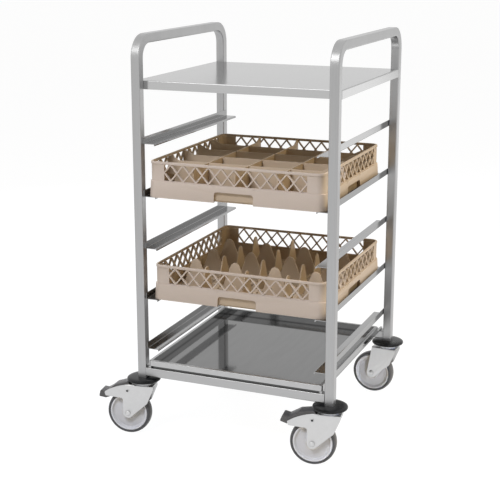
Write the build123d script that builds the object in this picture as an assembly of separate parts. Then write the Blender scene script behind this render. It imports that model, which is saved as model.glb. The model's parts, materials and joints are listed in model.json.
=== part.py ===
from build123d import *
import math
import os

# Dishwasher rack trolley in millimetres. The floor is Z = 0, X runs to the right-hand arch and Y to the rear.
# The origin lies on the floor under the middle of the four posts.

# Racks that the trolley carries, and the room that the frame leaves round them
rack_size = 500.0
rack_side_room = 10.0
rack_end_room = 12.5

# Frame of square tube
tube_size = 25.0
tube_wall = 1.5
tube_corner = 3.0
handle_bend_radius = 50.0
handle_rise = 120.0
rail_rise = 5.0

# Sheet metal
sheet = 1.5
sheet_bend = 2.5
shelf_skirt = 23.0
shelf_hem = 12.0
shelf_headroom = 165.0

# Bottom tray and the flat bars under it
tray_side_gap = 7.5
tray_front_setback = 3.5
tray_rear_gap = 49.5
tray_lip = 15.0
tray_rim_width = 9.0
tray_corner = 8.0
bearer_height = 6.0
bearer_width = 7.0

# Runners for the racks
runner_count = 5
runner_pitch = 143.0
runner_headroom = 32.0
runner_ledge = 34.0
runner_flange = 18.5
runner_lip = 4.0
runner_inset = 12.5

# Wheels
wheel_diameter = 125.0
tyre_width = 30.0
tyre_depth = 9.0
tyre_crown = 4.0
tyre_flank_taper = 0.6
hub_radius = 16.0
hub_play = 1.5
hub_chamfer = 2.0
hub_fairing = 4.0
web_dish = 4.5
rim_dish = 6.5
rim_lip = 4.0
rim_slope = 5.0
rim_inset = 0.8
bush_radius = 7.5
bush_play = 1.0
axle_radius = 5.0
axle_head_radius = 8.0
axle_head_height = 5.0
axle_tail = 7.0

# Casters
caster_trail = 43.0
fork_sheet = 2.5
fork_bend = 1.5
fork_side_room = 4.0
fork_leg_radius = 14.0
fork_front_drop = 10.0
fork_waist_inset = 18.0
fork_waist_drop = 53.0
beak_reach = 68.0
beak_drop = 42.0
beak_nose = 14.0
beak_undercut = 3.0
brow_back = 36.0
brow_drop = 9.0
crown_gap = 20.5
crown_front = 32.0
crown_back = 31.0
plain_crown_back = 42.0
kingpin_radius = 8.0
kingpin_head_radius = 12.0
kingpin_head_height = 4.5
seal_radius = 27.0
seal_height = 3.7
race_radius = 28.0
race_height = 6.0
plug_height = 55.0
bumper_radius = 47.0
bumper_thickness = 12.0
bumper_edge = 2.2

# Brakes on the front casters
brake_pin_radius = 3.0
brake_pin_gap = 1.0
brake_press_angle = 9.0
brake_pin_head = 4.8
pedal_ear = 8.0
pedal_wall = 2.4
pedal_web = 3.0
shoe_width = 24.0
shoe_gap = 0.3

# Side view of the released pedal, each point measured from the brake pin: length and height
pedal_root = (3.0, 25.0)
pedal_heel = (-36.0, 19.0)
pedal_step = (-44.0, 14.0)
pedal_dip = (-65.0, 2.0)
pedal_toe_top = (-81.0, 6.0)
pedal_toe_tip = (-88.0, -11.0)
pedal_belly = (-69.0, -17.0)
shoe_near = -17.0
shoe_far = -37.0

# Yaw of each caster about its post, in degrees
caster_yaw = {"front_left": 8.0, "front_right": 8.0, "rear_left": -5.0, "rear_right": -5.0}
braked_casters = ("front_left", "front_right")
pressed_pedals = ("front_left",)

# Racks
rack_height = 97.0
rack_corner = 25.0
rack_wall = 3.0
rack_band = 44.0
rack_band_flare = 3.0
rack_top_inset = 6.0
rack_rim_height = 7.0
rack_rim_width = 5.0
rack_shelf_ring = 4.0
lattice_margin = 49.8
lattice_cells = 11
lattice_bar = 3.8
lattice_depth = 6.0
floor_cells = 8
floor_margin = 14.0
floor_rib = 4.0
floor_rib_height = 4.0
floor_rise = 0.5
recess_width = 110.0
recess_height = 28.0
recess_depth = 10.0
recess_corner = 8.0
divider_lines = (-2, 0, 2)
compartment_rows = 5
divider_thickness = 2.5
divider_height = 83.0
divider_end_height = 94.0
divider_end_slope = 34.0
divider_end_notch = 18.0
fin_height = 87.0
fin_half_base = 42.0
fin_tip_radius = 14.0
fin_thickness = 3.0
upper_rack_level = 2
lower_rack_level = 4
upper_rack_forward = 28.0
lower_rack_forward = 20.0
lower_rack_right = 5.0

# Fits
running_clearance = 0.05
loose_clearance = 0.1
plug_clearance = 0.3
seat_gap = 0.3
slot_clearance = 0.15

# Places worked out from the sizes above, from the floor upwards
frame_width = rack_size + 2 * (rack_side_room + tube_size)
frame_depth = rack_size + 2 * (rack_end_room + tube_size)
wheel_radius = wheel_diameter / 2
rim_radius = wheel_radius - tyre_depth
tyre_half = tyre_width / 2
cheek_inner = tyre_half + fork_side_room
cheek_outer = cheek_inner + fork_sheet
crown_bottom = wheel_diameter + crown_gap
crown_top = crown_bottom + fork_sheet
race_bottom = crown_top + seal_height + seat_gap
bumper_bottom = race_bottom + race_height
post_bottom = bumper_bottom + bumper_thickness
rail_bottom = post_bottom + rail_rise
rail_top = rail_bottom + tube_size
tray_lip_bottom = rail_top + bearer_height
tray_top = tray_lip_bottom + tray_lip
lowest_ledge = tray_top + runner_headroom
highest_ledge = lowest_ledge + runner_pitch * (runner_count - 1)
shelf_top = highest_ledge + shelf_headroom
handle_top = shelf_top + handle_rise
post_x = (frame_width - tube_size) / 2
post_y = (frame_depth - tube_size) / 2
inner_x = frame_width / 2 - tube_size
inner_y = frame_depth / 2 - tube_size
tray_width = 2 * (inner_x - tray_side_gap)
tray_length = frame_depth - tray_front_setback - tray_rear_gap
brake_pin_z = wheel_diameter + brake_pin_gap + brake_pin_radius
lattice_pitch = (rack_size - 2 * lattice_margin) / lattice_cells
floor_pitch = (rack_size - 2 * floor_margin) / floor_cells
row_pitch = (rack_size - 2 * floor_margin) / compartment_rows
rack_foot = floor_rise + floor_rib_height
rack_mouth = rack_size / 2 - rack_top_inset + rack_wall / 2 - rack_rim_width

posts = {
    "front_left": (-post_x, -post_y),
    "front_right": (post_x, -post_y),
    "rear_left": (-post_x, post_y),
    "rear_right": (post_x, post_y),
}


def tube_section():
    """Cross-section of the square tube, with rounded outer edges."""
    inside = tube_size - 2 * tube_wall
    return RectangleRounded(tube_size, tube_size, tube_corner) - Rectangle(inside, inside)


def side_arch(x):
    """Inverted U of tube: front post, handle and rear post in one bent length."""
    handle_axis = handle_top - tube_size / 2
    path = FilletPolyline(
        (x, -post_y, post_bottom),
        (x, -post_y, handle_axis),
        (x, post_y, handle_axis),
        (x, post_y, post_bottom),
        radius=handle_bend_radius,
    )
    start = Plane(origin=(x, -post_y, post_bottom), x_dir=(1, 0, 0), z_dir=(0, 0, 1))
    return sweep(start * tube_section(), path=path)


def bottom_rail(y):
    """Straight tube between the posts of the two arches."""
    end = Plane(origin=(-inner_x, y, rail_bottom + tube_size / 2), x_dir=(0, 1, 0), z_dir=(1, 0, 0))
    return extrude(end * tube_section(), amount=2 * inner_x)


def top_shelf():
    """Folded sheet: flat top, skirt on four sides and an inward hem along the lower edge."""
    length = 2 * inner_y
    block = Pos(0, 0, shelf_top - shelf_skirt / 2) * Box(frame_width, length, shelf_skirt)
    block = fillet(block.edges().filter_by(Axis.Z), sheet_bend)
    block = fillet(block.faces().sort_by(Axis.Z)[-1].edges(), sheet_bend)
    hollow_height = shelf_skirt - 2 * sheet
    hollow = Pos(0, 0, shelf_top - sheet - hollow_height / 2) * Box(
        frame_width - 2 * sheet, length - 2 * sheet, hollow_height
    )
    mouth = Pos(0, 0, shelf_top - shelf_skirt) * Box(
        frame_width - 2 * shelf_hem, length - 2 * shelf_hem, 3 * sheet
    )
    return block - hollow - mouth


def tray_ring(inset, thickness, low, high):
    """Upright wall of the tray, set in from its outline."""
    width = tray_width - 2 * inset
    length = tray_length - 2 * inset
    corner = max(tray_corner - inset, sheet)
    outside = RectangleRounded(width, length, corner)
    inner_corner = max(corner - thickness, sheet / 2)
    inside = RectangleRounded(width - 2 * thickness, length - 2 * thickness, inner_corner)
    return Pos(0, 0, low) * extrude(outside - inside, amount=high - low)


def bottom_tray():
    """Polished tray: floor, upright wall, flat rim turned outwards and a lip turned down."""
    centre_y = -frame_depth / 2 + tray_front_setback + tray_length / 2
    wall_inset = tray_rim_width - sheet
    floor_corner = max(tray_corner - wall_inset, sheet)
    floor = extrude(
        RectangleRounded(tray_width - 2 * wall_inset, tray_length - 2 * wall_inset, floor_corner), amount=sheet
    )
    tray = Pos(0, 0, rail_top) * floor
    tray += tray_ring(wall_inset, sheet, rail_top, tray_top)
    tray += tray_ring(0, tray_rim_width, tray_top - sheet, tray_top)
    tray += tray_ring(0, sheet, tray_lip_bottom, tray_top)
    top = tray.faces().filter_by(Axis.Z).sort_by(Axis.Z)[-1]
    tray = fillet(top.outer_wire().edges(), sheet_bend - sheet / 2)
    return Pos(0, centre_y, 0) * tray


def tray_bearers():
    """Two flat bars laid on the rails, which carry the lip of the tray."""
    length = frame_depth - 2 * tray_front_setback
    x = (tray_width - bearer_width) / 2
    bar = Pos(0, 0, rail_top + bearer_height / 2) * Box(bearer_width, length, bearer_height)
    bar = fillet(bar.edges().filter_by(Axis.Y), sheet / 2)
    return Compound(children=[Pos(-x, 0, 0) * bar, Pos(x, 0, 0) * bar])


def ledge_height(level):
    """Top of a runner's ledge, counted from the highest level."""
    return lowest_ledge + runner_pitch * (runner_count - level)


def runner(level, side):
    """Folded strip welded to the posts: flange against them, ledge for the rack, lip turned down."""
    outline = [
        (0, 0),
        (0, runner_flange),
        (sheet, runner_flange),
        (sheet, sheet),
        (runner_ledge, sheet),
        (runner_ledge, -runner_lip),
        (runner_ledge - sheet, -runner_lip),
        (runner_ledge - sheet, 0),
    ]
    section = make_face(Polyline(*outline, close=True))
    corners = section.vertices()
    outer_bends = [corners.sort_by_distance((x, y, 0))[0] for x, y in ((0, 0), (runner_ledge, sheet))]
    section = fillet(outer_bends, sheet_bend)
    corners = section.vertices()
    inner_bends = [corners.sort_by_distance((x, y, 0))[0] for x, y in ((sheet, sheet), (runner_ledge - sheet, 0))]
    section = fillet(inner_bends, sheet_bend - sheet)
    length = 2 * (post_y + tube_size / 2 - runner_inset)
    end = Plane(
        origin=(side * inner_x, -side * length / 2, ledge_height(level) - sheet), x_dir=(-side, 0, 0), z_dir=(0, side, 0)
    )
    return extrude(end * section, amount=length)


def bumper_disc():
    """Round plastic buffer between post and caster, with eased edges and a hole for the stem."""
    disc = Pos(0, 0, bumper_bottom + bumper_thickness / 2) * Cylinder(bumper_radius, bumper_thickness)
    disc = chamfer(disc.edges().filter_by(GeomType.CIRCLE), bumper_edge)
    hole = Pos(0, 0, bumper_bottom + bumper_thickness / 2) * Cylinder(
        kingpin_radius + plug_clearance, 2 * bumper_thickness
    )
    return disc - hole


def caster_stem():
    """Fixed half of the swivel: plug in the post, stem, upper race and kingpin with its riveted head."""
    plug_size = tube_size - 2 * tube_wall - 2 * plug_clearance
    plug = Pos(0, 0, post_bottom) * extrude(Rectangle(plug_size, plug_size), amount=plug_height)
    head_top = crown_bottom - seat_gap
    head_bottom = head_top - kingpin_head_height
    profile = [
        (0, head_bottom),
        (kingpin_head_radius, head_bottom),
        (kingpin_head_radius, head_top),
        (kingpin_radius, head_top),
        (kingpin_radius, race_bottom),
        (race_radius, race_bottom),
        (race_radius, bumper_bottom),
        (kingpin_radius, bumper_bottom),
        (kingpin_radius, post_bottom + plug_height / 2),
        (0, post_bottom + plug_height / 2),
    ]
    spindle = revolve(Plane.XZ * make_face(Polyline(*profile, close=True)), axis=Axis.Z)
    return plug + spindle


def swivel_seal():
    """Plastic dust ring on the crown of the fork."""
    ring = Cylinder(seal_radius, seal_height) - Cylinder(kingpin_radius + plug_clearance, 2 * seal_height)
    return Pos(0, 0, crown_top + seal_height / 2) * ring


def tangent_point(point, centre, radius):
    """Where a line from a point touches a circle, on the side below the line to its centre."""
    away_x = point[0] - centre[0]
    away_y = point[1] - centre[1]
    bearing = math.atan2(away_y, away_x)
    turn = math.acos(radius / math.hypot(away_x, away_y))
    return (centre[0] + radius * math.cos(bearing - turn), centre[1] + radius * math.sin(bearing - turn))


def cheek_outline(braked):
    """Side of the fork: leg round the axle, flared front edge and, with a brake, a beak to the back."""
    axle = (-caster_trail, wheel_radius)
    leg_back = -caster_trail - fork_leg_radius
    beak_low = crown_top - beak_drop
    beak_tip = -caster_trail - beak_reach
    waist = (crown_front - fork_waist_inset, crown_top - fork_waist_drop)
    front_low = (crown_front, crown_top - fork_front_drop)
    front_top = (crown_front, crown_top)
    toe = tangent_point(waist, axle, fork_leg_radius)
    edges = [
        Line(front_top, front_low),
        Line(front_low, waist),
        Line(waist, toe),
        Line(toe, axle),
        Line(axle, (leg_back, wheel_radius)),
    ]
    if braked:
        tip_low = (beak_tip + beak_undercut, beak_low + beak_undercut)
        tip_top = (beak_tip, beak_low + beak_nose)
        brow = (beak_tip + brow_back, crown_top - brow_drop)
        crown_start = (-crown_back, crown_top)
        edges += [
            Line((leg_back, wheel_radius), (leg_back, beak_low)),
            Line((leg_back, beak_low), tip_low),
            Line(tip_low, tip_top),
            ThreePointArc(tip_top, brow, crown_start),
            Line(crown_start, front_top),
        ]
    else:
        crown_start = (-plain_crown_back, crown_top)
        edges += [Line((leg_back, wheel_radius), crown_start), Line(crown_start, front_top)]
    cheek = make_face(edges) + Pos(*axle) * Circle(fork_leg_radius)
    corners = cheek.vertices()
    cheek = fillet([corners.sort_by_distance((*p, 0))[0] for p in (front_low, waist)], fork_leg_radius)
    if braked:
        inner = cheek.vertices().sort_by_distance((leg_back, beak_low, 0))[0]
        cheek = fillet(inner, fork_leg_radius / 2)
        ends = cheek.vertices()
        cheek = fillet([ends.sort_by_distance((*p, 0))[0] for p in (tip_low, tip_top)], fork_sheet)
        cheek -= Pos(-caster_trail, brake_pin_z) * Circle(brake_pin_radius + loose_clearance)
    return cheek - Pos(*axle) * Circle(axle_radius + loose_clearance)


def arch_section(half_width, top, corner):
    """Upright rectangle from the floor to a height, with rounded top corners."""
    block = Pos(0, top / 2) * Rectangle(2 * half_width, top)
    return fillet(block.vertices().sort_by(Axis.Y)[-2:], corner)


def caster_fork(braked):
    """Pressed fork: two cheeks beside the wheel, joined by the crown that turns on the kingpin."""
    section = arch_section(cheek_outer, crown_top, fork_bend + fork_sheet)
    section -= arch_section(cheek_inner, crown_bottom, fork_bend)
    reach = 4 * caster_trail
    channel = extrude(Plane.YZ * section, amount=reach, both=True)
    side = extrude(Plane.XZ * cheek_outline(braked), amount=2 * cheek_outer, both=True)
    fork = channel & side
    back = crown_back if braked else plain_crown_back
    slot = Pos(-back - reach / 2, 0, crown_bottom) * Box(reach, 2 * cheek_inner, 2 * crown_gap)
    return fork - slot - Pos(0, 0, crown_bottom) * Cylinder(kingpin_radius + running_clearance, 4 * fork_sheet)


def wheel_turned(profile):
    """Body of revolution about the axle, from a profile of radius and half-width."""
    shape = revolve(make_face(profile), axis=Axis.Y)
    return Pos(-caster_trail, 0, wheel_radius) * shape


def axle_bolt():
    """Axle with a bevelled head in front and a nut behind, outside the cheeks of the fork."""
    head_front = -cheek_outer - axle_head_height
    tail = cheek_outer + axle_tail
    bolt = wheel_turned(Polyline(
        (0, head_front),
        (axle_head_radius - axle_head_height / 2, head_front),
        (axle_head_radius, head_front + axle_head_height / 2),
        (axle_head_radius, -cheek_outer),
        (axle_radius, -cheek_outer),
        (axle_radius, tail),
        (0, tail),
        close=True,
    ))
    nut_section = RegularPolygon(axle_head_radius, 6) - Circle(axle_radius + running_clearance)
    nut = extrude(Plane.XZ.offset(-cheek_outer) * nut_section, amount=-axle_head_height)
    return Compound(children=[bolt, Pos(-caster_trail, 0, wheel_radius) * nut])


def wheel_bush():
    """Steel bearing bush pressed into the hub, turning on the axle."""
    half = cheek_inner - bush_play
    bore = axle_radius + running_clearance
    return wheel_turned(Polyline((bore, -half), (bush_radius, -half), (bush_radius, half), (bore, half), close=True))


def wheel_core():
    """Moulded wheel: hub, dished web and rim with a raised lip."""
    hub_half = cheek_inner - hub_play
    lip_half = tyre_half - rim_inset
    face = [
        (bush_radius, hub_half),
        (hub_radius - hub_chamfer, hub_half),
        (hub_radius, hub_half - hub_chamfer),
        (hub_radius + hub_fairing, tyre_half - web_dish),
        (rim_radius - rim_lip - rim_slope, tyre_half - rim_dish),
        (rim_radius - rim_lip, lip_half),
        (rim_radius, lip_half),
    ]
    other = [(r, -y) for r, y in reversed(face)]
    return wheel_turned(Polyline(*face, *other, close=True))


def tyre():
    """Rubber tyre with slightly tapered flanks and a crowned tread."""
    shoulder = wheel_radius - tyre_crown
    flank = tyre_half - tyre_flank_taper
    return wheel_turned([
        Line((rim_radius, -flank), (shoulder, -tyre_half)),
        ThreePointArc((shoulder, -tyre_half), (wheel_radius, 0), (shoulder, tyre_half)),
        Line((shoulder, tyre_half), (rim_radius, flank)),
        Line((rim_radius, flank), (rim_radius, -flank)),
    ])


def about_pin(offset, angle):
    """Turn an offset from the brake pin; a positive angle presses the pedal down."""
    turn = math.radians(angle)
    return (
        offset[0] * math.cos(turn) - offset[1] * math.sin(turn),
        offset[0] * math.sin(turn) + offset[1] * math.cos(turn),
    )


def under_tread(length):
    """Offset from the brake pin of a place on the underside of the pedal's tread."""
    run = pedal_root[0] - pedal_heel[0]
    rise = pedal_root[1] - pedal_heel[1]
    top = pedal_heel[1] + rise / run * (length - pedal_heel[0])
    return (length, top - pedal_web * math.hypot(run, rise) / run)


def brake_pedal():
    """Inverted channel over the wheel: two ears on the pin, tread on top, upturned toe at the back."""
    outline = [
        (pedal_ear, 0),
        (pedal_ear, pedal_root[1] - pedal_ear / 2),
        pedal_root,
        pedal_heel,
        pedal_step,
        pedal_dip,
        pedal_toe_top,
        pedal_toe_tip,
        pedal_belly,
        (-pedal_ear, -pedal_ear / 2),
        (0, 0),
    ]
    side = make_face(Polyline(*outline, close=True)) + Circle(pedal_ear)
    corners = side.vertices()
    side = fillet([corners.sort_by_distance((*p, 0))[0] for p in outline[3:9]], pedal_web)
    front = 4 * pedal_ear
    low = -6 * pedal_ear
    hollow = make_face(Polyline(
        under_tread(front),
        under_tread(pedal_heel[0] - pedal_web / 3),
        (pedal_dip[0] - pedal_web / 3, pedal_dip[1] - 2 * pedal_web),
        (pedal_dip[0] - pedal_web / 3, low),
        (front, low),
        close=True,
    ))
    half = cheek_inner - plug_clearance
    body = extrude(Plane.XZ * side, amount=half, both=True)
    body -= extrude(Plane.XZ * hollow, amount=half - pedal_wall, both=True)
    body -= Rot(90, 0, 0) * Cylinder(brake_pin_radius + running_clearance, 3 * half)
    return Pos(-caster_trail, 0, brake_pin_z) * body


def brake_shoe():
    """Block under the tread whose curved face meets the tyre when the pedal is pressed."""
    reach = wheel_radius + shoe_gap
    arc = []
    for length in (shoe_near, (shoe_near + shoe_far) / 2, shoe_far):
        on_tyre = (length, wheel_radius + math.sqrt(reach**2 - length**2) - brake_pin_z)
        arc.append(about_pin(on_tyre, -brake_press_angle))
    block = make_face([
        Line(under_tread(shoe_far), under_tread(shoe_near)),
        Line(under_tread(shoe_near), arc[0]),
        ThreePointArc(*arc),
        Line(arc[2], under_tread(shoe_far)),
    ])
    return Pos(-caster_trail, 0, brake_pin_z) * extrude(Plane.XZ * block, amount=shoe_width / 2, both=True)


def brake_pin():
    """Rivet through both cheeks on which the pedal turns."""
    head_height = fork_sheet / 2
    shank = Cylinder(brake_pin_radius, 2 * cheek_outer)
    for side in (-1, 1):
        shank += Pos(0, 0, side * (cheek_outer + head_height / 2)) * Cylinder(brake_pin_head, head_height)
    return Pos(-caster_trail, 0, brake_pin_z) * Rot(90, 0, 0) * shank


def rack_block(size, corner, low, high, top_size=None):
    """Square block with rounded corners between two heights, tapered if a top size is given."""
    foot = Pos(0, 0, low) * RectangleRounded(size, size, corner)
    if top_size is None:
        return extrude(foot, amount=high - low)
    lid = Pos(0, 0, high) * RectangleRounded(top_size, top_size, corner - (size - top_size) / 2)
    return loft([foot, lid])


def lattice_holes(low, high):
    """Diamonds and triangles left open by the crossing bars of one side wall."""
    half_pitch = lattice_pitch / 2
    half_height = (high - low) / 2
    slant = math.hypot(half_pitch, half_height)
    middle = (low + high) / 2
    shrink = 1 - lattice_bar / 2 * slant / (half_pitch * half_height)
    wide = half_pitch * shrink
    tall = half_height * shrink
    base = half_pitch - lattice_bar / 2 * slant / half_height
    rise = base * half_height / half_pitch
    holes = []
    first = -(lattice_cells - 1) / 2 * lattice_pitch
    for cell in range(lattice_cells):
        x = first + cell * lattice_pitch
        holes.append([(x - wide, middle), (x, middle - tall), (x + wide, middle), (x, middle + tall)])
    for gap in range(lattice_cells - 1):
        x = first + (gap + 0.5) * lattice_pitch
        holes.append([(x - base, high), (x, high - rise), (x + base, high)])
        holes.append([(x - base, low), (x + base, low), (x, low + rise)])
    for side in (-1, 1):
        end = side * (lattice_cells / 2) * lattice_pitch
        holes.append([(end, high), (end, high - rise), (end - side * base, high)])
        holes.append([(end, low), (end - side * base, low), (end, low + rise)])
    return [make_face(Polyline(*hole, close=True)) for hole in holes]


def rack_floor():
    """Open grid of ribs across the bottom of a rack, moulded to the inside of its band."""
    half = rack_size / 2 - rack_band_flare - rack_wall
    lines = floor_cells // 2 - 1
    grid = Sketch()
    for line in range(-lines, lines + 1):
        grid += Pos(0, line * floor_pitch) * Rectangle(2 * half, floor_rib)
    for line in divider_lines:
        grid += Pos(line * floor_pitch, 0) * Rectangle(floor_rib, 2 * half)
    return Pos(0, 0, floor_rise) * extrude(grid, amount=floor_rib_height)


def hand_recess():
    """Finger notch in one side of the band, with the panel set back behind it and its side webs."""
    face_y = -rack_size / 2
    notch_sketch = Rectangle(recess_width, 2 * recess_height)
    top_corners = notch_sketch.vertices().sort_by(Axis.Y)[-2:]
    notch_sketch = fillet(top_corners, recess_corner)
    notch = extrude(Plane.XZ.offset(-face_y - recess_depth) * notch_sketch, amount=2 * recess_depth)
    panel_width = recess_width + 2 * rack_wall
    panel_height = rack_band - rack_shelf_ring - rack_foot
    panel_z = rack_foot + panel_height / 2
    panel = Pos(0, face_y + recess_depth + rack_wall / 2, panel_z) * Box(panel_width, rack_wall, panel_height)
    for side in (-1, 1):
        web_x = side * (recess_width + rack_wall) / 2
        web_y = face_y + (recess_depth + rack_wall) / 2
        panel += Pos(web_x, web_y, panel_z) * Box(rack_wall, recess_depth - rack_wall / 2, panel_height)
    return notch, panel


def rack_side():
    """One side of a rack's surround, mitred at the corners: flared band, lattice wall, rim and hand recess."""
    wall_size = rack_size - 2 * rack_top_inset
    wall_corner = rack_corner - rack_top_inset
    ring_low = rack_band - rack_shelf_ring
    rim_low = rack_height - rack_rim_height
    rim_corner = wall_corner + rack_wall / 2
    band = rack_block(rack_size, rack_corner, 0, rack_band, rack_size - 2 * rack_band_flare)
    band_inside = rack_band_flare + rack_wall
    band -= rack_block(rack_size - 2 * band_inside, rack_corner - band_inside, 0, ring_low)
    wall = rack_block(wall_size, wall_corner, ring_low, rim_low)
    rim = rack_block(wall_size + rack_wall, rim_corner, rim_low, rack_height)
    rim = chamfer(rim.faces().sort_by(Axis.Z)[-1].edges(), rack_wall / 3)
    ring = band + wall + rim
    ring -= rack_block(wall_size - 2 * lattice_depth, wall_corner - lattice_depth, ring_low, rim_low)
    ring -= rack_block(2 * rack_mouth, rim_corner - rack_rim_width, rim_low, rack_height)
    quarter = make_face(Polyline((0, 0), (-rack_size, -rack_size), (rack_size, -rack_size), close=True))
    side = ring & extrude(quarter, amount=rack_height)
    wall_plane = Plane.XZ.offset(wall_size / 2 - 2 * lattice_depth)
    windows = lattice_holes(rack_band + lattice_bar / 2, rim_low)
    side -= [extrude(wall_plane * window, amount=3 * lattice_depth) for window in windows]
    notch, panel = hand_recess()
    return side - notch + panel


def rack_surround():
    """The four sides of a rack, in the order front, right, rear, left."""
    side = rack_side()
    return [Rot(0, 0, 90 * turn) * side for turn in range(4)]


def rack_fin():
    """Upright plate with a rounded tip and flanks that spread towards the floor."""
    rise = fin_height - rack_foot
    tip_centre = (0, rise - fin_tip_radius)
    touch = tangent_point((-fin_half_base, 0), tip_centre, fin_tip_radius)
    edges = [
        Line((-fin_half_base, 0), touch),
        ThreePointArc(touch, (0, rise), (-touch[0], touch[1])),
        Line((-touch[0], touch[1]), (fin_half_base, 0)),
        Line((fin_half_base, 0), (-fin_half_base, 0)),
    ]
    return Pos(0, 0, rack_foot) * extrude(Plane.XZ * make_face(edges), amount=fin_thickness / 2, both=True)


def rack_fins():
    """Fins on the ribs of the floor, alternately facing front and side, so that four stand round each cell."""
    fin = rack_fin()
    turned = Rot(0, 0, 90) * fin
    fins = []
    for across in (-3, -1, 1, 3):
        for along in divider_lines:
            fins.append(Pos(across * floor_pitch, along * floor_pitch, 0) * fin)
            fins.append(Pos(along * floor_pitch, across * floor_pitch, 0) * turned)
    return fins


def divider_strip(crossings, slot_from_top):
    """One strip of the compartment insert, with half-lap slots where it crosses the others."""
    half = rack_size / 2 - rack_top_inset - lattice_depth - seat_gap
    notch_half = half - divider_end_notch
    notch_top = rack_band + 2 * seat_gap
    side = [
        (notch_half, rack_foot),
        (notch_half, notch_top),
        (half, notch_top),
        (half, divider_end_height),
        (half - divider_end_slope / 3, divider_end_height),
        (half - divider_end_slope, divider_height),
    ]
    mirrored = [(-x, z) for x, z in reversed(side)]
    outline = make_face(Polyline(*side, *mirrored, close=True))
    middle = (rack_foot + divider_height) / 2
    slot_low = middle if slot_from_top else rack_foot
    slot_high = divider_height if slot_from_top else middle + seat_gap
    for crossing in crossings:
        slot = Rectangle(divider_thickness + 2 * slot_clearance, slot_high - slot_low)
        outline -= Pos(crossing, (slot_low + slot_high) / 2) * slot
    return extrude(Plane.XZ * outline, amount=divider_thickness / 2, both=True)


def divider_set(along_y):
    """Parallel strips of the insert: three from front to rear, or those across between its rows."""
    columns = [line * floor_pitch for line in divider_lines]
    rows = [(row - compartment_rows / 2) * row_pitch for row in range(1, compartment_rows)]
    if along_y:
        strip = divider_strip(rows, slot_from_top=True)
        return [Pos(x, 0, 0) * Rot(0, 0, 90) * strip for x in columns]
    strip = divider_strip(columns, slot_from_top=False)
    return [Pos(0, y, 0) * strip for y in rows]


nodes = {
    "left_side_arch": side_arch(-post_x),
    "right_side_arch": side_arch(post_x),
    "front_bottom_rail": bottom_rail(-post_y),
    "rear_bottom_rail": bottom_rail(post_y),
    "top_shelf": top_shelf(),
    "bottom_tray": bottom_tray(),
    "tray_bearers": tray_bearers(),
}

for level in range(1, runner_count + 1):
    nodes[f"left_runner_{level}"] = runner(level, -1)
    nodes[f"right_runner_{level}"] = runner(level, 1)

stem = caster_stem()
nodes["caster_stems"] = Compound(children=[Pos(x, y, 0) * stem for x, y in posts.values()])

pin_axis = Axis((-caster_trail, 0, brake_pin_z), (0, -1, 0))
for corner, (x, y) in posts.items():
    braked = corner in braked_casters
    place = Pos(x, y, 0) * Rot(0, 0, caster_yaw[corner])
    nodes[f"{corner}_bumper"] = Pos(x, y, 0) * bumper_disc()
    nodes[f"{corner}_swivel_seal"] = place * swivel_seal()
    nodes[f"{corner}_fork"] = place * caster_fork(braked)
    nodes[f"{corner}_axle"] = place * axle_bolt()
    nodes[f"{corner}_wheel_bush"] = place * wheel_bush()
    nodes[f"{corner}_wheel_core"] = place * wheel_core()
    nodes[f"{corner}_tyre"] = place * tyre()
    if braked:
        angle = brake_press_angle if corner in pressed_pedals else 0
        nodes[f"{corner}_brake_pedal"] = place * brake_pedal().rotate(pin_axis, angle)
        nodes[f"{corner}_brake_shoe"] = place * brake_shoe().rotate(pin_axis, angle)
        nodes[f"{corner}_brake_pin"] = place * brake_pin()

upper_place = Pos(0, -upper_rack_forward, ledge_height(upper_rack_level))
lower_place = Pos(lower_rack_right, -lower_rack_forward, ledge_height(lower_rack_level))
sides = rack_surround()
floor = rack_floor()
nodes["upper_rack_walls"] = Compound(children=[upper_place * side for side in sides])
nodes["upper_rack_floor"] = upper_place * floor
nodes["upper_rack_long_dividers"] = Compound(children=[upper_place * strip for strip in divider_set(True)])
nodes["upper_rack_cross_dividers"] = Compound(children=[upper_place * strip for strip in divider_set(False)])
nodes["lower_rack_walls"] = Compound(children=[lower_place * side for side in sides])
nodes["lower_rack_floor"] = lower_place * floor
nodes["lower_rack_fins"] = Compound(children=[lower_place * fin for fin in rack_fins()])

os.makedirs("parts", exist_ok=True)
for name, shape in nodes.items():
    export_step(shape, f"parts/{name}.step")
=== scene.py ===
import bpy
import bmesh
import json
import math
from mathutils import Matrix, Vector


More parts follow.
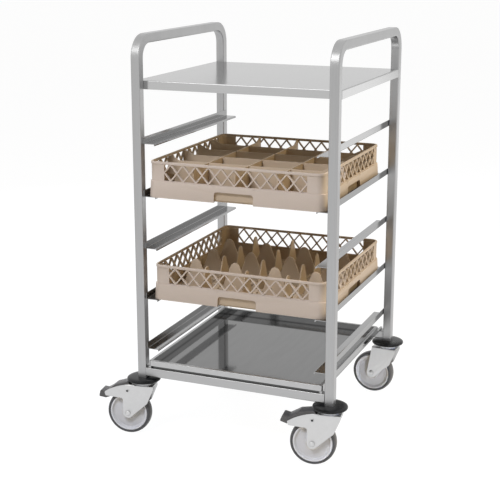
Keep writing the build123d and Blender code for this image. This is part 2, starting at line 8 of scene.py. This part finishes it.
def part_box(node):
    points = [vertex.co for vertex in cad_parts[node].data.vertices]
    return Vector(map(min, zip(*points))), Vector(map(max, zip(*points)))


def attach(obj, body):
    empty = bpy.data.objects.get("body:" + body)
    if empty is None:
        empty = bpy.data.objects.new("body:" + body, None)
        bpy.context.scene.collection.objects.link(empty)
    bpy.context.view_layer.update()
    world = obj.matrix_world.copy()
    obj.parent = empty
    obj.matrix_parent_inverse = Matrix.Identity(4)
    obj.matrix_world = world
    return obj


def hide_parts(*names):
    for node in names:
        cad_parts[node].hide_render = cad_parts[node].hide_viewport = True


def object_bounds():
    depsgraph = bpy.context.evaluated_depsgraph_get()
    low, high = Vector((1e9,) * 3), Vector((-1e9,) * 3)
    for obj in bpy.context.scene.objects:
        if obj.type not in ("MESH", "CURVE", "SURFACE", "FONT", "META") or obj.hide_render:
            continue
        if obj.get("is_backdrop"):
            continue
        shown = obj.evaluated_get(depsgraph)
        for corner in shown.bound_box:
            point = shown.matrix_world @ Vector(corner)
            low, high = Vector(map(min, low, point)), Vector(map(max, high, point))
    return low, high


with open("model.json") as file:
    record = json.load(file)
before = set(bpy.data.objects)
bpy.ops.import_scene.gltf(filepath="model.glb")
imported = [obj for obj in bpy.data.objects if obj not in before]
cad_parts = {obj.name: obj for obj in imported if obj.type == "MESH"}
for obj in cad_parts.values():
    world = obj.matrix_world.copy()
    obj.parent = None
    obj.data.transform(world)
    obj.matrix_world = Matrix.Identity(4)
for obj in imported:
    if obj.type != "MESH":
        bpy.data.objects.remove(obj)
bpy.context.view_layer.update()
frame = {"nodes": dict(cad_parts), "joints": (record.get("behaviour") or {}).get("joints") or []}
nodes = frame["nodes"]

# Side arches: each is one length of square stainless tube, bent twice into two posts and a push handle.
# The tube is satin-ground along its length, so the grain is fine and shows as a soft change of tone.
# The rails, the shelf and the runners are welded between the two arches.


def new_material(name):
    """A node material with its Principled shader."""
    material = bpy.data.materials.new(name)
    material.use_nodes = True
    return material, material.node_tree.nodes, material.node_tree.links


def group_socket(group, name, direction, kind, default=None):
    """A named input or output of a shader group."""
    socket = group.interface.new_socket(name, in_out=direction, socket_type=kind)
    if default is not None:
        socket.default_value = default


def dress(material, *names):
    """Give CAD nodes their finish."""
    for name in names:
        mesh = nodes[name].data
        mesh.materials.clear()
        mesh.materials.append(material)


grain_group = bpy.data.node_groups.new("SurfaceGrain", "ShaderNodeTree")
group_socket(grain_group, "Vector", "INPUT", "NodeSocketVector")
group_socket(grain_group, "Dark", "INPUT", "NodeSocketColor", (0.45, 0.45, 0.45, 1))
group_socket(grain_group, "Light", "INPUT", "NodeSocketColor", (0.55, 0.55, 0.55, 1))
group_socket(grain_group, "Smooth", "INPUT", "NodeSocketFloat", 0.25)
group_socket(grain_group, "Rough", "INPUT", "NodeSocketFloat", 0.4)
group_socket(grain_group, "Color", "OUTPUT", "NodeSocketColor")
group_socket(grain_group, "Roughness", "OUTPUT", "NodeSocketFloat")
group_socket(grain_group, "Height", "OUTPUT", "NodeSocketFloat")
stroke_share = 0.5
cloud_share = 0.5
parts, wires = grain_group.nodes, grain_group.links
entry = parts.new("NodeGroupInput")
leave = parts.new("NodeGroupOutput")
strokes = parts.new("ShaderNodeTexNoise")
strokes.inputs["Scale"].default_value = 1.0
strokes.inputs["Detail"].default_value = 5.0
clouds = parts.new("ShaderNodeTexNoise")
clouds.inputs["Scale"].default_value = 0.04
clouds.inputs["Detail"].default_value = 2.0
share = parts.new("ShaderNodeMath")
share.operation = "MULTIPLY"
share.inputs[1].default_value = cloud_share
blend = parts.new("ShaderNodeMath")
blend.operation = "MULTIPLY_ADD"
blend.inputs[1].default_value = stroke_share
tone = parts.new("ShaderNodeMix")
tone.data_type = "RGBA"
sheen = parts.new("ShaderNodeMapRange")
wires.new(entry.outputs["Vector"], strokes.inputs["Vector"])
wires.new(entry.outputs["Vector"], clouds.inputs["Vector"])
wires.new(clouds.outputs["Fac"], share.inputs[0])
wires.new(strokes.outputs["Fac"], blend.inputs[0])
wires.new(share.outputs[0], blend.inputs[2])
wires.new(blend.outputs[0], tone.inputs["Factor"])
wires.new(entry.outputs["Dark"], tone.inputs["A"])
wires.new(entry.outputs["Light"], tone.inputs["B"])
wires.new(blend.outputs[0], sheen.inputs["Value"])
wires.new(entry.outputs["Smooth"], sheen.inputs["To Min"])
wires.new(entry.outputs["Rough"], sheen.inputs["To Max"])
wires.new(tone.outputs["Result"], leave.inputs["Color"])
wires.new(sheen.outputs["Result"], leave.inputs["Roughness"])
wires.new(strokes.outputs["Fac"], leave.inputs["Height"])


def grained(name, stretch, dark, light, smooth, rough, bump, relief_depth=0.0002):
    """A material whose tone, gloss and relief follow a grain drawn out along the object's axes."""
    material, parts, wires = new_material(name)
    shader = parts["Principled BSDF"]
    place = parts.new("ShaderNodeTexCoord")
    mapping = parts.new("ShaderNodeMapping")
    mapping.inputs["Scale"].default_value = stretch
    grain = parts.new("ShaderNodeGroup")
    grain.node_tree = grain_group
    grain.inputs["Dark"].default_value = (*dark, 1)
    grain.inputs["Light"].default_value = (*light, 1)
    grain.inputs["Smooth"].default_value = smooth
    grain.inputs["Rough"].default_value = rough
    relief = parts.new("ShaderNodeBump")
    relief.inputs["Strength"].default_value = bump
    relief.inputs["Distance"].default_value = relief_depth
    wires.new(place.outputs["Object"], mapping.inputs["Vector"])
    wires.new(mapping.outputs["Vector"], grain.inputs["Vector"])
    wires.new(grain.outputs["Color"], shader.inputs["Base Color"])
    wires.new(grain.outputs["Roughness"], shader.inputs["Roughness"])
    wires.new(grain.outputs["Height"], relief.inputs["Height"])
    wires.new(relief.outputs["Normal"], shader.inputs["Normal"])
    return material, shader


def steel(name, stretch, dark, light, smooth, rough, bump, glance=0.8):
    """Bare metal with a drawn-out grain, where glance says how strongly it mirrors at a low angle."""
    material, shader = grained(name, stretch, (dark,) * 3, (light,) * 3, smooth, rough, bump)
    shader.inputs["Metallic"].default_value = 1.0
    shader.inputs["Specular Tint"].default_value = (glance, glance, glance, 1)
    return material


tube_steel = steel(
    "satin_tube", stretch=(700, 700, 10), dark=0.33, light=0.48, smooth=0.26, rough=0.38, bump=0.05, glance=1.0
)
dress(tube_steel, "left_side_arch", "right_side_arch")

# Bottom rails: two straight tubes of the same section, welded between the posts in front and behind.
# Their grain runs across the trolley.
rail_steel = steel("satin_rail", stretch=(10, 700, 700), dark=0.38, light=0.48, smooth=0.26, rough=0.38, bump=0.06)
dress(rail_steel, "front_bottom_rail", "rear_bottom_rail")

# Tray bearers: two flat bars laid over the rails from front to rear, which carry the lip of the tray.
# They are cut from bright bar and left as rolled.
bearer_steel = steel("rolled_bar", stretch=(700, 10, 700), dark=0.34, light=0.44, smooth=0.20, rough=0.32, bump=0.06)
dress(bearer_steel, "tray_bearers")

# Drip tray: one pressed sheet of bright-rolled stainless steel with a flat rim and a lip turned down.
# It is the most polished piece and mirrors the posts and runners above it; its flat floor has a darker base colour,
# a painted dark reflection.
# Handling has dulled its rim.
tray_steel = steel("bright_tray", stretch=(60, 8, 60), dark=0.38, light=0.54, smooth=0.05, rough=0.10, bump=0.0)
# Painted dark reflection: the floor's base colour is multiplied by this tone, which fades out from 2 to 6 mm above
# the floor.
tray_floor_painted_shade = 0.46
floor_fade = (0.002, 0.006)
rim_gloss = 0.34
rim_fade = (0.004, 0.001)
tray_low, tray_high = map(Vector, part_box("bottom_tray"))
parts, wires = tray_steel.node_tree.nodes, tray_steel.node_tree.links
height = parts.new("ShaderNodeSeparateXYZ")
rise = parts.new("ShaderNodeMapRange")
rise.inputs["From Min"].default_value = tray_low.z + floor_fade[0]
rise.inputs["From Max"].default_value = tray_low.z + floor_fade[1]
rise.inputs["To Min"].default_value = tray_floor_painted_shade
shade = parts.new("ShaderNodeMix")
shade.data_type = "RGBA"
shade.blend_type = "MULTIPLY"
shade.inputs["Factor"].default_value = 1.0
edge = parts.new("ShaderNodeMapRange")
edge.inputs["From Min"].default_value = tray_high.z - rim_fade[0]
edge.inputs["From Max"].default_value = tray_high.z - rim_fade[1]
gloss = parts.new("ShaderNodeMix")
gloss.inputs["B"].default_value = rim_gloss
wires.new(parts["Texture Coordinate"].outputs["Object"], height.inputs["Vector"])
wires.new(height.outputs["Z"], rise.inputs["Value"])
wires.new(parts["Group"].outputs["Color"], shade.inputs["A"])
wires.new(rise.outputs["Result"], shade.inputs["B"])
wires.new(shade.outputs["Result"], parts["Principled BSDF"].inputs["Base Color"])
wires.new(height.outputs["Z"], edge.inputs["Value"])
wires.new(edge.outputs["Result"], gloss.inputs["Factor"])
wires.new(parts["Group"].outputs["Roughness"], gloss.inputs["A"])
wires.new(gloss.outputs["Result"], parts["Principled BSDF"].inputs["Roughness"])
dress(tray_steel, "bottom_tray")

# Top shelf: a folded sheet with a skirt all round, welded between the posts under the handles.
# Its rolled finish is smooth enough to show the posts as a soft reflection.
shelf_steel = steel(
    "rolled_shelf", stretch=(10, 500, 500), dark=0.455, light=0.545, smooth=0.12, rough=0.22, bump=0.03
)
dress(shelf_steel, "top_shelf")

# Runners: folded strips welded to the inside of the posts, five a side, each with a ledge for a rack.
# They are folded from the shelf's sheet, with the grain along the strip.
runner_steel = steel(
    "rolled_runner", stretch=(500, 10, 500), dark=0.34, light=0.44, smooth=0.08, rough=0.18, bump=0.03
)
for level in range(1, 6):
    dress(runner_steel, f"left_runner_{level}", f"right_runner_{level}")

# Caster stems and bumpers: a zinc-plated plug in each post, and a round black buffer clamped under the post.
# The buffer is moulded in glossy plastic with a full round edge and a slightly domed top.
MM = 0.001
zinc_plate = steel("zinc_plate", stretch=(90, 90, 90), dark=0.53, light=0.66, smooth=0.30, rough=0.44, bump=0.05)
dress(zinc_plate, "caster_stems")


def plastic(name, fine, dark, light, smooth, rough, bump, gloss=0.5):
    """Moulded plastic or rubber with an even grain, whose gloss follows the finish of its mould."""
    material, shader = grained(name, (fine,) * 3, dark, light, smooth, rough, bump)
    shader.inputs["Specular IOR Level"].default_value = gloss
    return material


def sharp_edges(shape, above):
    """The edges whose two faces meet at more than so many degrees."""
    limit = math.radians(above)
    return [e for e in shape.edges if len(e.link_faces) == 2 and e.calc_face_angle() > limit]


def round_edges(shape, edges, ease, segments=2, clamp=False):
    """Round edges by so many millimetres."""
    bmesh.ops.bevel(
        shape, geom=edges, offset=ease * MM, offset_type="OFFSET", segments=segments, profile=0.5,
        affect="EDGES", material=-1, clamp_overlap=clamp
    )


def turned(profile, place, steps, ease=0.0, weld=1e-7):
    """A mesh turned about its local Y axis from a closed profile of radius and place along the axis, in mm."""
    shape = bmesh.new()
    ring = [shape.verts.new((radius * MM, along * MM, 0)) for radius, along in profile]
    edges = [shape.edges.new((ring[i - 1], ring[i])) for i in range(len(ring))]
    bmesh.ops.spin(
        shape, geom=ring + edges, cent=(0, 0, 0), axis=(0, 1, 0), angle=2 * math.pi, steps=steps, use_merge=True
    )
    bmesh.ops.remove_doubles(shape, verts=shape.verts, dist=weld)
    bmesh.ops.dissolve_degenerate(shape, edges=shape.edges, dist=weld)
    if ease:
        round_edges(shape, sharp_edges(shape, above=25), ease, segments=3, clamp=True)
    bmesh.ops.recalc_face_normals(shape, faces=shape.faces)
    bmesh.ops.transform(shape, matrix=place, verts=shape.verts)
    return shape


def piece(name, shape, material, body, slot, *replaced, smooth_below=32):
    """Make a bmesh a piece of the object, riding on a body in place of CAD nodes."""
    mesh = bpy.data.meshes.new(name)
    shape.to_mesh(mesh)
    shape.free()
    mesh.shade_smooth()
    mesh.set_sharp_from_angle(angle=math.radians(smooth_below))
    mesh.materials.append(material)
    made = bpy.data.objects.new(name, mesh)
    bpy.context.scene.collection.objects.link(made)
    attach(made, body)
    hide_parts(*replaced)
    return made


corners = ("front_left", "front_right", "rear_left", "rear_right")
bumper_profile = (
    (8.3, 0), (34, 0), (42.5, 1.2), (46.2, 3.6), (47, 6), (46.2, 8.4), (43, 10.4), (34, 11.5), (22, 12), (8.3, 12)
)
bumper_plastic = plastic(
    "black_bumper", fine=400, dark=(0.004,) * 3, light=(0.008,) * 3, smooth=0.22, rough=0.34, bump=0.04, gloss=0.25
)
for corner in corners:
    low, high = map(Vector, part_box(f"{corner}_bumper"))
    foot = Vector(((low.x + high.x) / 2, (low.y + high.y) / 2, low.z))
    upright = Matrix.Translation(foot) @ Matrix.Rotation(math.pi / 2, 4, "X")
    piece(
        f"{corner}_buffer", turned(bumper_profile, upright, steps=64), bumper_plastic, "frame", "black_plastic",
        f"{corner}_bumper"
    )

# Swivels: a grey plastic dust ring on the crown of a pressed, zinc-plated fork that turns on the kingpin.
# The fork is blanked and folded from sheet, so every cut edge is eased and catches the light.
seal_plastic = plastic(
    "swivel_seal", fine=400, dark=(0.30,) * 3, light=(0.38,) * 3, smooth=0.38, rough=0.52, bump=0.05
)


def merged_copy(node, weld=1e-6, flat=0.5):
    """A copy of a CAD node with its doubled corners merged and its flat faces joined."""
    shape = bmesh.new()
    shape.from_mesh(nodes[node].data)
    bmesh.ops.remove_doubles(shape, verts=shape.verts, dist=weld)
    bmesh.ops.dissolve_limit(shape, angle_limit=math.radians(flat), verts=shape.verts, edges=shape.edges)
    return shape


def eased_copy(node, ease):
    """A merged copy of a CAD node with its sharp edges rounded by so many millimetres."""
    shape = merged_copy(node)
    round_edges(shape, sharp_edges(shape, above=40), ease)
    return shape


for corner in corners:
    dress(seal_plastic, f"{corner}_swivel_seal")
    piece(
        f"{corner}_pressed_fork", eased_copy(f"{corner}_fork", ease=0.5), zinc_plate, f"{corner}_caster",
        "zinc_plate", f"{corner}_fork"
    )

# Axles: a zinc-plated bolt with a low domed head in front and a hexagon nut behind the fork.
# The head is cold-formed, so it has no sharp edge.
joints = {joint["name"]: joint for joint in frame["joints"]}
bolt_profile = (
    (0, -26.2), (2.6, -26), (5, -25.2), (6.8, -23.8), (7.8, -22.2), (8, -21.5), (5, -21.5), (5, 27.6), (4.2, 28.5),
    (0, 28.5)
)
nut_radius = 8.0
nut_start = 21.5
nut_height = 5.0
nut_ease = 0.5


def joint_place(name):
    """Local frame of a hinge whose axis is level: Y along the axis to the rear, Z up."""
    joint = joints[name]
    axis = Vector(joint["axis"])
    axis = axis if axis.y > 0 else -axis
    turn = Matrix((axis.cross(Vector((0, 0, 1))), axis, Vector((0, 0, 1)))).transposed()
    return Matrix.Translation(joint["pos_m"]) @ turn.to_4x4()


for corner in corners:
    place = joint_place(f"{corner}_roll")
    bolt = turned(bolt_profile, place, steps=32)
    facing = place @ Matrix.Translation((0, nut_start * MM, 0)) @ Matrix.Rotation(-math.pi / 2, 4, "X")
    hexagon = bmesh.ops.create_circle(bolt, cap_ends=True, segments=6, radius=nut_radius * MM, matrix=facing)
    face = {f for v in hexagon["verts"] for f in v.link_faces}
    block = bmesh.ops.extrude_face_region(bolt, geom=list(face))
    top = [v for v in block["geom"] if isinstance(v, bmesh.types.BMVert)]
    bmesh.ops.translate(bolt, verts=top, vec=place.to_3x3() @ Vector((0, nut_height * MM, 0)))
    edges = {e for v in top for e in v.link_edges}
    round_edges(bolt, list(edges), nut_ease)
    bmesh.ops.recalc_face_normals(bolt, faces=bolt.faces)
    piece(f"{corner}_axle_bolt", bolt, zinc_plate, f"{corner}_caster", "zinc_plate", f"{corner}_axle")

# Wheels: a light grey moulded core with a dished web and a raised, paler rim, a steel bush in its hub,
# and a grey rubber tyre cast round the rim, with a crowned tread.
core_profile = (
    (7.5, 17.5), (14, 17.5), (16, 15.5), (20, 10.5), (44.5, 8.5), (49.5, 14.2), (53.5, 14.2),
    (53.5, -14.2), (49.5, -14.2), (44.5, -8.5), (20, -10.5), (16, -15.5), (14, -17.5), (7.5, -17.5)
)
tyre_profile = (
    (53.5, -14.4), (57.4, -15), (59.4, -14.4), (61, -12.2), (62.1, -7), (62.5, 0), (62.1, 7), (61, 12.2),
    (59.4, 14.4), (57.4, 15), (53.5, 14.4)
)
rim_start = 49.2
core_plastic = plastic(
    "wheel_core", fine=250, dark=(0.56, 0.525, 0.46), light=(0.65, 0.61, 0.535), smooth=0.30, rough=0.42, bump=0.05
)
rim_plastic = plastic(
    "wheel_rim", fine=250, dark=(0.74, 0.70, 0.62), light=(0.80, 0.755, 0.67), smooth=0.30, rough=0.42, bump=0.05
)
tyre_rubber = plastic(
    "grey_tyre", fine=300, dark=(0.062, 0.058, 0.052), light=(0.10, 0.094, 0.084), smooth=0.30, rough=0.46,
    bump=0.08, gloss=0.35
)
for corner in corners:
    place = joint_place(f"{corner}_roll")
    dress(zinc_plate, f"{corner}_wheel_bush")
    wheel = piece(
        f"{corner}_moulded_wheel", turned(core_profile, place, steps=72, ease=1.0), core_plastic,
        f"{corner}_wheel", "wheel_plastic", f"{corner}_wheel_core"
    )
    wheel.data.materials.append(rim_plastic)
    for polygon in wheel.data.polygons:
        if (place.inverted() @ polygon.center).xz.length > rim_start * MM:
            polygon.material_index = 1
    piece(
        f"{corner}_cast_tyre", turned(tyre_profile, place, steps=96), tyre_rubber, f"{corner}_wheel", "grey_tyre",
        f"{corner}_tyre"
    )

# Brakes: on the front casters a dark plastic pedal turns on a hollow rivet and presses a rubber shoe on the tyre.
# The pedal is a channel with an upturned toe, moulded with eased edges.
rivet_profile = (
    (0, -21.9), (3.1, -21.9), (3.2, -22.5), (3.6, -22.75), (4.3, -22.75), (4.8, -22.2), (4.8, -21.5), (3, -21.5),
    (3, 21.5), (4.8, 21.5), (4.8, 22.2), (4.3, 22.75), (3.6, 22.75), (3.2, 22.5), (3.1, 21.9), (0, 21.9)
)
rivet_hole = 3.3
pedal_plastic = plastic(
    "brake_pedal", fine=300, dark=(0.062, 0.056, 0.048), light=(0.094, 0.085, 0.073), smooth=0.30, rough=0.44,
    bump=0.06
)
shoe_rubber = plastic(
    "brake_shoe", fine=300, dark=(0.02,) * 3, light=(0.03,) * 3, smooth=0.55, rough=0.7, bump=0.08
)
# Painted shade: a near-black material for the rivet's shallow bore, standing in for the dark of a deep hollow.
rivet_bore_painted_shade = plastic(
    "rivet_hole", fine=300, dark=(0.008,) * 3, light=(0.015,) * 3, smooth=0.5, rough=0.7, bump=0.05
)
for corner in corners[:2]:
    dress(shoe_rubber, f"{corner}_brake_shoe")
    piece(
        f"{corner}_moulded_pedal", eased_copy(f"{corner}_brake_pedal", ease=0.7), pedal_plastic,
        f"{corner}_brake", "pedal_plastic", f"{corner}_brake_pedal"
    )
    rivet = piece(
        f"{corner}_hollow_rivet", turned(rivet_profile, joint_place(f"{corner}_brake_press"), steps=24),
        zinc_plate, f"{corner}_caster", "zinc_plate", f"{corner}_brake_pin"
    )
    # The faces of the bore take the near-black painted shade.
    rivet.data.materials.append(rivet_bore_painted_shade)
    pin = Vector(joints[f"{corner}_brake_press"]["pos_m"])
    along = Vector(joints[f"{corner}_brake_press"]["axis"])
    for polygon in rivet.data.polygons:
        reach = max((rivet.data.vertices[v].co - pin).cross(along).length for v in polygon.vertices)
        if reach < rivet_hole * MM:
            polygon.material_index = 1

# Racks: beige polypropylene mouldings with a flared band, lattice walls, a rolled rim and a fine floor grid.
# The upper rack holds an insert of crossed strips, and the lower one has fins that stand round each cell.
# The insides, hand recesses, floor grids, strips and fins take a darker, warmer copy of the rack plastic, painted
# shade for the light that the walls and the racks above keep out.
rack_plastic = plastic(
    "rack_plastic", fine=260, dark=(0.475, 0.37, 0.262), light=(0.555, 0.435, 0.31), smooth=0.36, rough=0.50,
    bump=0.08
)
# Painted shade: a darker, warmer copy of the rack plastic for everything inside the walls.
shaded_rack_plastic = plastic(
    "rack_inside_painted_shade", fine=260, dark=(0.44, 0.318, 0.192), light=(0.515, 0.378, 0.226), smooth=0.36, rough=0.50,
    bump=0.08
)
mitre_slack = 0.02
mitre_tilt = 0.1
wall_ease = 0.5
wall_thinnest = 0.002
outward_from = 0.3
upward_from = 0.6
recess_half = 58.0
recess_face = 243.0
grid_pitch = 59.0 / 3
grid_cells = 26
grid_rib = 2.4
grid_height = 6.5
grid_margin = 0.1
grid_least_cell = 10.0
rim_cells = 12
for rack in ("upper_rack", "lower_rack"):
    low, high = map(Vector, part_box(f"{rack}_floor"))
    middle = (low + high) / 2
    walls = merged_copy(f"{rack}_walls")
    mitres = []
    for f in walls.faces:
        offsets = [abs(abs(v.co.x - middle.x) - abs(v.co.y - middle.y)) for v in f.verts]
        if max(offsets) < mitre_slack * MM and abs(f.normal.z) < mitre_tilt:
            mitres.append(f)
    bmesh.ops.delete(walls, geom=mitres, context="FACES_ONLY")
    bmesh.ops.remove_doubles(walls, verts=walls.verts, dist=mitre_slack * MM)
    round_edges(walls, sharp_edges(walls, above=40), wall_ease)
    bmesh.ops.dissolve_degenerate(walls, edges=walls.edges, dist=wall_thinnest * MM)
    sides = piece(f"{rack}_moulded_walls", walls, rack_plastic, rack, "rack_plastic", f"{rack}_walls")
    sides.data.materials.append(shaded_rack_plastic)
    # Inward faces and the hand recesses take the painted-shade copy.
    for polygon in sides.data.polygons:
        spot = polygon.center - middle
        near, far = sorted((abs(spot.x), abs(spot.y)))
        across = Vector((spot.x, 0)) if abs(spot.x) > abs(spot.y) else Vector((0, spot.y))
        outward = polygon.normal.xy.dot(across.normalized())
        inside = outward < outward_from and polygon.normal.z < upward_from
        if inside or (near < recess_half * MM and far < recess_face * MM):
            polygon.material_index = 1

    half = grid_cells * grid_pitch / 2 * MM
    reach = (high.x - low.x) / 2 - grid_margin * MM
    grid = bmesh.new()
    bmesh.ops.create_grid(
        grid, x_segments=grid_cells, y_segments=grid_cells, size=half,
        matrix=Matrix.Translation((middle.x, middle.y, low.z + grid_height * MM))
    )
    bmesh.ops.inset_individual(grid, faces=grid.faces, thickness=grid_rib / 2 * MM)
    cells = [f for f in grid.faces if f.calc_area() > (grid_least_cell * MM) ** 2]
    bmesh.ops.delete(grid, geom=cells, context="FACES_ONLY")
    for direction in ((1, 0), (-1, 0), (0, 1), (0, -1)):
        side = Vector((*direction, 0))
        bmesh.ops.bisect_plane(
            grid, geom=grid.verts[:] + grid.edges[:] + grid.faces[:], plane_co=middle + side * reach,
            plane_no=side, clear_outer=True
        )
    rim = rim_cells * grid_pitch * MM
    outside = []
    for f in grid.faces:
        centre = f.calc_center_median() - middle
        near, far = sorted((abs(centre.x), abs(centre.y)))
        if near > rim or (far > rim + grid_rib * MM and near < recess_half * MM):
            outside.append(f)
    bmesh.ops.delete(grid, geom=outside, context="FACES")
    bmesh.ops.solidify(grid, geom=grid.faces[:], thickness=grid_height * MM)
    piece(f"{rack}_floor_grid", grid, shaded_rack_plastic, rack, "rack_plastic", f"{rack}_floor")

piece(
    "upper_rack_long_strips", eased_copy("upper_rack_long_dividers", ease=0.4), shaded_rack_plastic, "upper_rack",
    "rack_plastic", "upper_rack_long_dividers"
)
piece(
    "upper_rack_cross_strips", eased_copy("upper_rack_cross_dividers", ease=0.4), shaded_rack_plastic, "upper_rack",
    "rack_plastic", "upper_rack_cross_dividers"
)
piece(
    "lower_rack_moulded_fins", eased_copy("lower_rack_fins", ease=0.6), shaded_rack_plastic, "lower_rack",
    "rack_plastic", "lower_rack_fins"
)

# Studio: a pale floor, a white surround and seven soft lamps: a key, fills round it and two gleams for the metal.
# The floor and the surround look white to the viewer, and the floor still carries the trolley's shadow.
floor_half = 60
floor_glow = 1.12
floor_glow_share = 0.86
ambient_light = 0.035
floor_mesh = bpy.data.meshes.new("studio_floor")
sheet = bmesh.new()
bmesh.ops.create_grid(sheet, x_segments=1, y_segments=1, size=floor_half)
sheet.to_mesh(floor_mesh)
sheet.free()
floor = bpy.data.objects.new("studio_floor", floor_mesh)
bpy.context.scene.collection.objects.link(floor)
floor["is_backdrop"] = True


def seen_mix(parts, wires, share):
    """A shader mix that turns by a share to its second input where the camera, a reflection or glass looks."""
    path = parts.new("ShaderNodeLightPath")
    seen = parts.new("ShaderNodeMath")
    seen.operation = "MAXIMUM"
    through = parts.new("ShaderNodeMath")
    through.operation = "MAXIMUM"
    amount = parts.new("ShaderNodeMath")
    amount.operation = "MULTIPLY"
    amount.inputs[1].default_value = share
    wires.new(path.outputs["Is Camera Ray"], seen.inputs[0])
    wires.new(path.outputs["Is Glossy Ray"], seen.inputs[1])
    wires.new(seen.outputs[0], through.inputs[0])
    wires.new(path.outputs["Is Transmission Ray"], through.inputs[1])
    wires.new(through.outputs[0], amount.inputs[0])
    mix = parts.new("ShaderNodeMixShader")
    wires.new(amount.outputs[0], mix.inputs["Fac"])
    return mix


floor_pale, parts, wires = new_material("studio_floor")
parts["Principled BSDF"].inputs["Base Color"].default_value = (0.80, 0.765, 0.70, 1)
parts["Principled BSDF"].inputs["Roughness"].default_value = 0.9
glow = parts.new("ShaderNodeEmission")
glow.inputs["Color"].default_value = (1, 1, 1, 1)
glow.inputs["Strength"].default_value = floor_glow
mix = seen_mix(parts, wires, floor_glow_share)
wires.new(parts["Principled BSDF"].outputs[0], mix.inputs[1])
wires.new(glow.outputs[0], mix.inputs[2])
wires.new(mix.outputs[0], parts["Material Output"].inputs["Surface"])
floor_mesh.materials.append(floor_pale)

world = bpy.data.worlds.new("studio")
bpy.context.scene.world = world
world.use_nodes = True
parts, wires = world.node_tree.nodes, world.node_tree.links
ambient = parts["Background"]
ambient.inputs["Color"].default_value = (1, 1, 1, 1)
ambient.inputs["Strength"].default_value = ambient_light
backdrop = parts.new("ShaderNodeBackground")
backdrop.inputs["Color"].default_value = (1, 1, 1, 1)
mix = seen_mix(parts, wires, 1.0)
wires.new(ambient.outputs[0], mix.inputs[1])
wires.new(backdrop.outputs[0], mix.inputs[2])
wires.new(mix.outputs[0], parts["World Output"].inputs["Surface"])


def soft_lamp(name, place, size, power, colour, target=(0, 0, 0.6), mirrored=False, spread=180):
    """A square lamp aimed at a point, with a grid that narrows its spread, which metal mirrors or leaves out."""
    data = bpy.data.lights.new(name, "AREA")
    data.size = size
    data.energy = power
    data.color = colour
    data.spread = math.radians(spread)
    lamp = bpy.data.objects.new(name, data)
    lamp.location = place
    lamp.rotation_euler = (Vector(target) - Vector(place)).to_track_quat("-Z", "Y").to_euler()
    lamp.visible_camera = False
    lamp.visible_glossy = mirrored
    bpy.context.scene.collection.objects.link(lamp)


soft_lamp("key_lamp", (-0.45, -2.15, 2.8), size=0.8, power=68, colour=(0.88, 1.0, 1.36))
soft_lamp("side_lamp", (2.7, 0.35, 1.75), size=1.0, power=32, colour=(1.0, 0.87, 0.64))
soft_lamp("top_lamp", (1.9, 0.2, 3.6), size=1.0, power=60, colour=(1.0, 0.97, 0.92))
soft_lamp("back_lamp", (-1.9, 2.1, 1.7), size=1.2, power=38, colour=(0.89, 1.0, 1.28))
soft_lamp(
    "low_lamp", (1.3, -0.9, 0.25), size=0.4, power=0.7, colour=(0.86, 1.0, 1.4), target=(0.27, 0.25, 0.06), spread=40
)
soft_lamp(
    "edge_lamp", (0.86, 1.53, 0.64), size=0.4, power=0.3, colour=(1, 1, 1), target=(0.28, -0.28, 0.9), mirrored=True
)
soft_lamp(
    "gleam_lamp", (-1.0, -2.6, 2.9), size=1.4, power=18, colour=(1, 1, 1), target=(0, 0, 0.7), mirrored=True
)

# Camera: at the photograph's angle, a little to the right of the front and above the handles.
# The lens is shifted down slightly, so that the posts stay nearly parallel.
focal_pixels = 1164.82
picture_pixels = 500
look_down = 13.998
turn_left = 22.268
camera_data = bpy.data.cameras.new("camera")
camera_data.sensor_width = 36.0
camera_data.lens = camera_data.sensor_width * focal_pixels / picture_pixels
camera_data.shift_y = -0.04
camera_data.clip_end = 200
camera = bpy.data.objects.new("camera", camera_data)
camera.location = (1.1557, -2.9847, 1.3479)
camera.rotation_euler = (math.radians(90 - look_down), 0, math.radians(turn_left))
bpy.context.scene.collection.objects.link(camera)
bpy.context.scene.camera = camera
bpy.context.scene.view_settings.view_transform = "Standard"

low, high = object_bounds()
